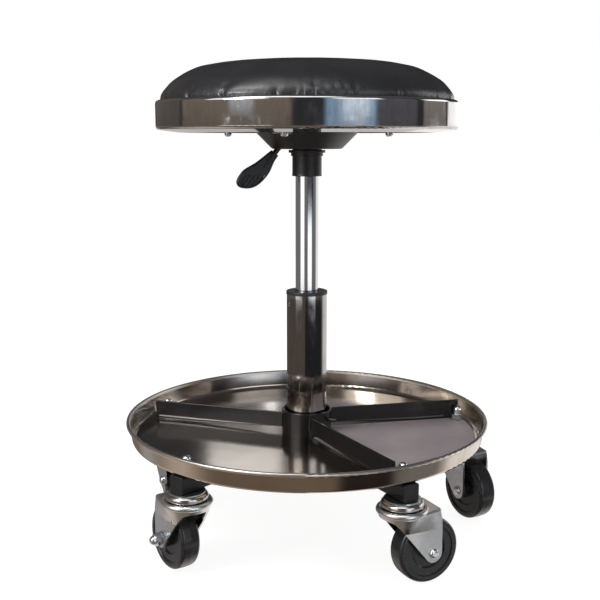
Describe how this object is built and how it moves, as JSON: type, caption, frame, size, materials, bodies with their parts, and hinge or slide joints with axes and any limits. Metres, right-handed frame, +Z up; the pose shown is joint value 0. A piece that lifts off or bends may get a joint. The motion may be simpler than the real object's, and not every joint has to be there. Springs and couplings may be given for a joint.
{
  "type": "creeper seat",
  "caption": "Round padded mechanic's stool on a gas lift, with a height lever, a steel parts tray with dividers and a five-leg base on swivel castors.",
  "frame": {"origin": "on the floor, under the axis of the column", "axes": "+Z up along the column; the pictured front faces -Y and +X is to its right"},
  "size_m": [0.4662, 0.489, 0.577],
  "materials": {
    "chrome_band": "polished",
    "chrome_column": "polished",
    "chrome_lift": "polished",
    "tray_nickel": "satin",
    "mat_grey": "matte",
    "black_paint": "satin",
    "black_plastic": "satin",
    "zinc": "satin",
    "bright_steel": "polished",
    "plywood": "matte",
    "vinyl": "satin",
    "foam": "matte",
    "wheel_rubber": "satin"
  },
  "bodies": {
    "base": {"hub_socket": "black_paint", "legs": "black_paint", "leg_plugs": "black_plastic", "tray": "tray_nickel", "tray_mat": "mat_grey", "tray_divider": "black_paint", "stem_nuts": "zinc", "stem_washers": "zinc", "castor_stems": "zinc", "castor_cups": "zinc", "castor_washers": "zinc", "castor_balls": "bright_steel", "column_tube": "chrome_column", "column_bush": "black_plastic"},
    "lift_rod": {"piston_rod": "bright_steel", "piston_head": "bright_steel", "thrust_bearing": "bright_steel", "rod_clip": "bright_steel"},
    "seat": {"gas_tube": "chrome_lift", "rod_guide": "bright_steel", "taper_socket": "black_paint", "mechanism_plate": "black_paint", "seat_board": "plywood", "cushion_cover": "vinyl", "cushion_foam": "foam", "seat_band": "chrome_band", "seat_screws": "zinc", "seat_washers": "zinc", "tee_nuts": "zinc", "lever_pivot_pin": "bright_steel"},
    "lever": {"lever_rod": "black_paint", "lever_grip": "black_plastic"},
    "valve": {"valve_button": "bright_steel"},
    "right_castor": {"right_yoke": "zinc", "right_hub_sleeve": "bright_steel", "right_axle_bolt": "zinc", "right_axle_nut": "zinc"},
    "right_roller": {"right_wheel": "wheel_rubber"},
    "rear_castor": {"rear_yoke": "zinc", "rear_hub_sleeve": "bright_steel", "rear_axle_bolt": "zinc", "rear_axle_nut": "zinc"},
    "rear_roller": {"rear_wheel": "wheel_rubber"},
    "left_castor": {"left_yoke": "zinc", "left_hub_sleeve": "bright_steel", "left_axle_bolt": "zinc", "left_axle_nut": "zinc"},
    "left_roller": {"left_wheel": "wheel_rubber"},
    "front_left_castor": {"front_left_yoke": "zinc", "front_left_hub_sleeve": "bright_steel", "front_left_axle_bolt": "zinc", "front_left_axle_nut": "zinc"},
    "front_left_roller": {"front_left_wheel": "wheel_rubber"},
    "front_right_castor": {"front_right_yoke": "zinc", "front_right_hub_sleeve": "bright_steel", "front_right_axle_bolt": "zinc", "front_right_axle_nut": "zinc"},
    "front_right_roller": {"front_right_wheel": "wheel_rubber"}
  },
  "joints": [
    {"name": "seat_swivel", "type": "hinge", "parent": "base", "child": "lift_rod", "pos_m": [0, 0, 0.066], "axis": [0, 0, 1], "continuous": true},
    {"name": "seat_height", "type": "slide", "parent": "lift_rod", "child": "seat", "axis": [0, 0, 1], "range_m": [-0.127, 0]},
    {"name": "lever_pivot", "type": "hinge", "parent": "seat", "child": "lever", "pos_m": [-0.02363, -0.00417, 0.488], "axis": [-0.1736, 0.9848, 0], "range_deg": [0, 8], "stiffness_Nm_per_rad": 1, "springref_deg": -2.86},
    {"name": "valve_travel", "type": "slide", "parent": "seat", "child": "valve", "axis": [0, 0, -1], "range_m": [0, 0.004]},
    {"name": "right_castor_swivel", "type": "hinge", "parent": "base", "child": "right_castor", "pos_m": [0.1978, 0.04566, 0.09], "axis": [0, 0, 1], "continuous": true},
    {"name": "right_wheel_roll", "type": "hinge", "parent": "right_castor", "child": "right_roller", "pos_m": [0.2123, 0.02044, 0.038], "axis": [0.8669, 0.4985, 0], "continuous": true},
    {"name": "rear_castor_swivel", "type": "hinge", "parent": "base", "child": "rear_castor", "pos_m": [0.01769, 0.20223, 0.09], "axis": [0, 0, 1], "continuous": true},
    {"name": "rear_wheel_roll", "type": "hinge", "parent": "rear_castor", "child": "rear_roller", "pos_m": [0.03224, 0.22743, 0.038], "axis": [-0.866, 0.5, 0], "continuous": true},
    {"name": "left_castor_swivel", "type": "hinge", "parent": "base", "child": "left_castor", "pos_m": [-0.18686, 0.07932, 0.09], "axis": [0, 0, 1], "continuous": true},
    {"name": "left_wheel_roll", "type": "hinge", "parent": "left_castor", "child": "left_roller", "pos_m": [-0.17365, 0.05339, 0.038], "axis": [0.891, 0.454, 0], "continuous": true},
    {"name": "front_left_castor_swivel", "type": "hinge", "parent": "base", "child": "front_left_castor", "pos_m": [-0.13318, -0.15321, 0.09], "axis": [0, 0, 1], "continuous": true},
    {"name": "front_left_wheel_roll", "type": "hinge", "parent": "front_left_castor", "child": "front_left_roller", "pos_m": [-0.15061, -0.1299, 0.038], "axis": [-0.8007, -0.599, 0], "continuous": true},
    {"name": "front_right_castor_swivel", "type": "hinge", "parent": "base", "child": "front_right_castor", "pos_m": [0.10455, -0.174, 0.09], "axis": [0, 0, 1], "continuous": true},
    {"name": "front_right_wheel_roll", "type": "hinge", "parent": "front_right_castor", "child": "front_right_roller", "pos_m": [0.13068, -0.1612, 0.038], "axis": [-0.4399, 0.898, 0], "continuous": true}
  ],
  "couplings": [
    {"joint": "valve_travel", "follows": "lever_pivot", "m_per_rad": 0.0272}
  ]
}
